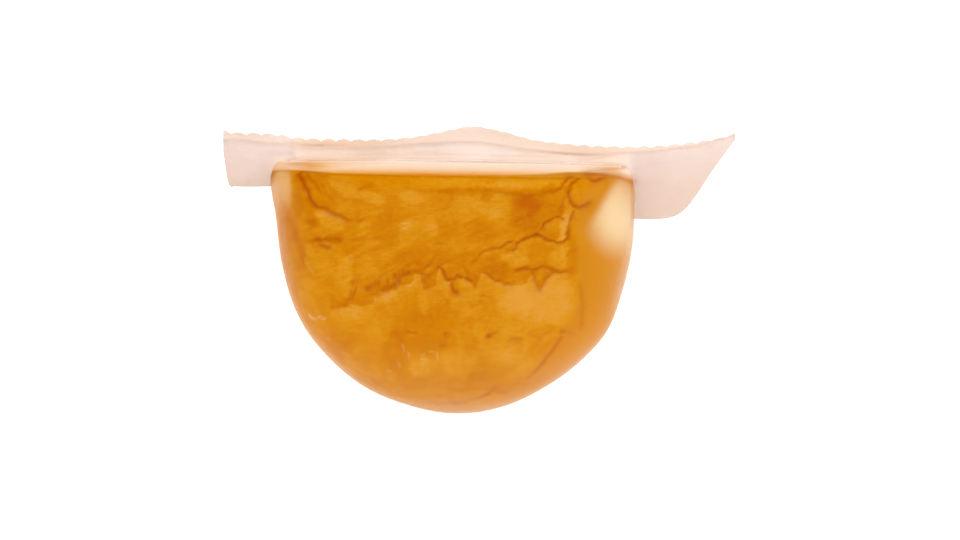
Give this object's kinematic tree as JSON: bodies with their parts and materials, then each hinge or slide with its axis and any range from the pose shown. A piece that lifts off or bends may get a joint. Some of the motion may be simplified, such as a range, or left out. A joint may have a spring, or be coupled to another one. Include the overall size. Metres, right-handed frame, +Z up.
{
  "type": "smoked scamorza cheese half",
  "caption": "Half a smoked scamorza in a clear vacuum shrink bag: a rounded amber cheese with a flat cut face under the bag's toothed seal flange.",
  "frame": {"origin": "centre of the small flat spot on the rounded bottom, where the cheese rests", "axes": "+Z up through the cut face to the bag's toothed edge, -Y to the shown front, +X along the flange to the slanted ear"},
  "size_m": [0.1357, 0.0709, 0.0758],
  "materials": {
    "smoked_rind": "smooth smoked rind, glossy under its tight film",
    "bag_film": "clear glossy film with a faint peach tint"
  },
  "bodies": {
    "root": {"scamorza": "smoked_rind", "bag_flange": "bag_film"}
  },
  "joints": []
}
